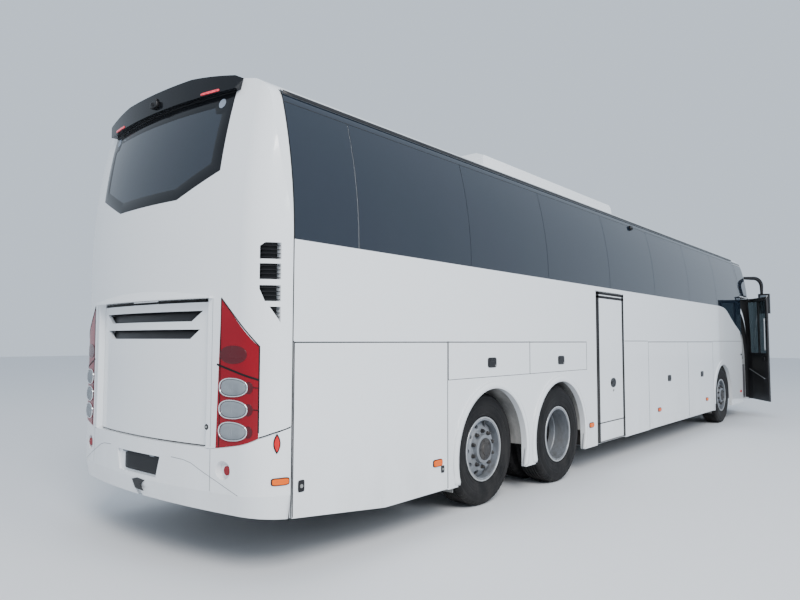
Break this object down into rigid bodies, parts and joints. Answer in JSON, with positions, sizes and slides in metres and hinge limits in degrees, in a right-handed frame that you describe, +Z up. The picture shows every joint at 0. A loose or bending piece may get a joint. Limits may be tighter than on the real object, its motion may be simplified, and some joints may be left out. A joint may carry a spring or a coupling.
{
  "type": "coach bus",
  "caption": "High-floor three-axle touring coach with flush side glass, an open front door, underfloor luggage bays and a rear engine behind a louvred hatch.",
  "frame": {"origin": "on the road, on the centreline, at mid-length of the body", "axes": "+X forward, +Y to the left side, +Z up"},
  "size_m": [14.015, 3.373, 3.8081],
  "materials": {
    "white_paint": "gloss",
    "tinted_glass": "gloss",
    "black_trim": "satin",
    "lamp_red": "gloss",
    "lamp_clear": "gloss",
    "underframe": "satin",
    "upholstery": "matt",
    "floor_cover": "matt",
    "tyre": "matt",
    "rim": "satin"
  },
  "bodies": {
    "coach": {"side_wall_right": "white_paint", "side_wall_left": "white_paint", "roof_shell": "white_paint", "rear_panel": "white_paint", "rear_bumper": "white_paint", "front_panel": "white_paint", "windscreen": "tinted_glass", "side_glass_right": "tinted_glass", "side_glass_left": "tinted_glass", "rear_window": "tinted_glass", "gutter_rails": "black_trim", "rear_spoiler": "black_trim", "tail_lamps": "lamp_red", "corner_grilles": "black_trim", "headlamps": "lamp_clear", "front_grille": "black_trim", "luggage_racks": "black_trim", "roof_unit": "white_paint", "deck": "floor_cover", "front_platform": "floor_cover", "mid_stairs": "floor_cover", "chassis_frame": "underframe", "wheel_housings": "black_trim", "engine": "underframe", "seats": "upholstery", "dashboard": "black_trim", "mirrors": "black_trim", "front_beam": "underframe", "drive_axle": "underframe", "tag_axle": "underframe", "antenna": "black_trim"},
    "steering_knuckle_right": {"knuckle_right": "underframe"},
    "front_wheel_right": {"front_tyre_right": "tyre", "front_rim_right": "rim"},
    "drive_wheels_right": {"drive_tyres_right": "tyre", "drive_rims_right": "rim"},
    "tag_wheel_right": {"tag_tyre_right": "tyre", "tag_rim_right": "rim"},
    "engine_flap_right_body": {"engine_flap_right": "white_paint"},
    "tag_arch_flap_right_body": {"tag_arch_flap_right": "white_paint"},
    "drive_arch_flap_right_body": {"drive_arch_flap_right": "white_paint"},
    "luggage_flap_rear_right_body": {"luggage_flap_rear_right": "white_paint"},
    "luggage_flap_front_right_body": {"luggage_flap_front_right": "white_paint"},
    "steering_knuckle_left": {"knuckle_left": "underframe"},
    "front_wheel_left": {"front_tyre_left": "tyre", "front_rim_left": "rim"},
    "drive_wheels_left": {"drive_tyres_left": "tyre", "drive_rims_left": "rim"},
    "tag_wheel_left": {"tag_tyre_left": "tyre", "tag_rim_left": "rim"},
    "engine_flap_left_body": {"engine_flap_left": "white_paint"},
    "tag_arch_flap_left_body": {"tag_arch_flap_left": "white_paint"},
    "drive_arch_flap_left_body": {"drive_arch_flap_left": "white_paint"},
    "luggage_flap_rear_left_body": {"luggage_flap_rear_left": "white_paint"},
    "luggage_flap_front_left_body": {"luggage_flap_front_left": "white_paint"},
    "front_door_leaf": {"front_door": "white_paint", "front_door_glass": "tinted_glass"},
    "mid_door_leaf": {"mid_door": "white_paint"},
    "engine_hatch_body": {"engine_hatch": "white_paint", "hatch_louvres": "black_trim"}
  },
  "joints": [
    {"name": "steering_right", "type": "hinge", "parent": "coach", "child": "steering_knuckle_right", "pos_m": [4.21, -0.88, 0.525], "axis": [0, 0, 1], "range_deg": [-38, 38]},
    {"name": "front_wheel_spin_right", "type": "hinge", "parent": "steering_knuckle_right", "child": "front_wheel_right", "pos_m": [4.21, -1.105, 0.525], "axis": [0, 1, 0], "continuous": true},
    {"name": "drive_wheel_spin_right", "type": "hinge", "parent": "coach", "child": "drive_wheels_right", "pos_m": [-2.68, -0.94, 0.525], "axis": [0, 1, 0], "continuous": true},
    {"name": "tag_wheel_spin_right", "type": "hinge", "parent": "coach", "child": "tag_wheel_right", "pos_m": [-4.08, -1.03, 0.525], "axis": [0, 1, 0], "continuous": true},
    {"name": "engine_flap_right_hinge", "type": "hinge", "parent": "coach", "child": "engine_flap_right_body", "pos_m": [-5.694, -1.27, 1.55], "axis": [-1, 0, 0], "range_deg": [0, 80]},
    {"name": "tag_arch_flap_right_hinge", "type": "hinge", "parent": "coach", "child": "tag_arch_flap_right_body", "pos_m": [-4.1035, -1.27, 1.55], "axis": [-1, 0, 0], "range_deg": [0, 85]},
    {"name": "drive_arch_flap_right_hinge", "type": "hinge", "parent": "coach", "child": "drive_arch_flap_right_body", "pos_m": [-2.6835, -1.27, 1.55], "axis": [-1, 0, 0], "range_deg": [0, 85]},
    {"name": "luggage_flap_rear_right_hinge", "type": "hinge", "parent": "coach", "child": "luggage_flap_rear_right_body", "pos_m": [1.0695, -1.27, 1.55], "axis": [-1, 0, 0], "range_deg": [0, 85]},
    {"name": "luggage_flap_front_right_hinge", "type": "hinge", "parent": "coach", "child": "luggage_flap_front_right_body", "pos_m": [2.7725, -1.27, 1.55], "axis": [-1, 0, 0], "range_deg": [0, 85]},
    {"name": "steering_left", "type": "hinge", "parent": "coach", "child": "steering_knuckle_left", "pos_m": [4.21, 0.88, 0.525], "axis": [0, 0, 1], "range_deg": [-38, 38]},
    {"name": "front_wheel_spin_left", "type": "hinge", "parent": "steering_knuckle_left", "child": "front_wheel_left", "pos_m": [4.21, 1.105, 0.525], "axis": [0, 1, 0], "continuous": true},
    {"name": "drive_wheel_spin_left", "type": "hinge", "parent": "coach", "child": "drive_wheels_left", "pos_m": [-2.68, 0.94, 0.525], "axis": [0, 1, 0], "continuous": true},
    {"name": "tag_wheel_spin_left", "type": "hinge", "parent": "coach", "child": "tag_wheel_left", "pos_m": [-4.08, 1.03, 0.525], "axis": [0, 1, 0], "continuous": true},
    {"name": "engine_flap_left_hinge", "type": "hinge", "parent": "coach", "child": "engine_flap_left_body", "pos_m": [-5.694, 1.27, 1.55], "axis": [1, 0, 0], "range_deg": [0, 80]},
    {"name": "tag_arch_flap_left_hinge", "type": "hinge", "parent": "coach", "child": "tag_arch_flap_left_body", "pos_m": [-4.1035, 1.27, 1.55], "axis": [1, 0, 0], "range_deg": [0, 85]},
    {"name": "drive_arch_flap_left_hinge", "type": "hinge", "parent": "coach", "child": "drive_arch_flap_left_body", "pos_m": [-2.6835, 1.27, 1.55], "axis": [1, 0, 0], "range_deg": [0, 85]},
    {"name": "luggage_flap_rear_left_hinge", "type": "hinge", "parent": "coach", "child": "luggage_flap_rear_left_body", "pos_m": [1.0695, 1.27, 1.55], "axis": [1, 0, 0], "range_deg": [0, 85]},
    {"name": "luggage_flap_front_left_hinge", "type": "hinge", "parent": "coach", "child": "luggage_flap_front_left_body", "pos_m": [2.7725, 1.27, 1.55], "axis": [1, 0, 0], "range_deg": [0, 85]},
    {"name": "front_door_hinge", "type": "hinge", "parent": "coach", "child": "front_door_leaf", "pos_m": [6.655, -1.22509, 1.4], "axis": [0, 0, 1], "range_deg": [-34, 54]},
    {"name": "mid_door_hinge", "type": "hinge", "parent": "coach", "child": "mid_door_leaf", "pos_m": [-0.835, -1.265, 1.2], "axis": [0, 0, 1], "range_deg": [0, 88]},
    {"name": "engine_hatch_hinge", "type": "hinge", "parent": "coach", "child": "engine_hatch_body", "pos_m": [-6.905, 0, 1.835], "axis": [0, 1, 0], "range_deg": [0, 60]}
  ],
  "couplings": [
    {"joint": "steering_left", "follows": "steering_right", "ratio": 1}
  ]
}
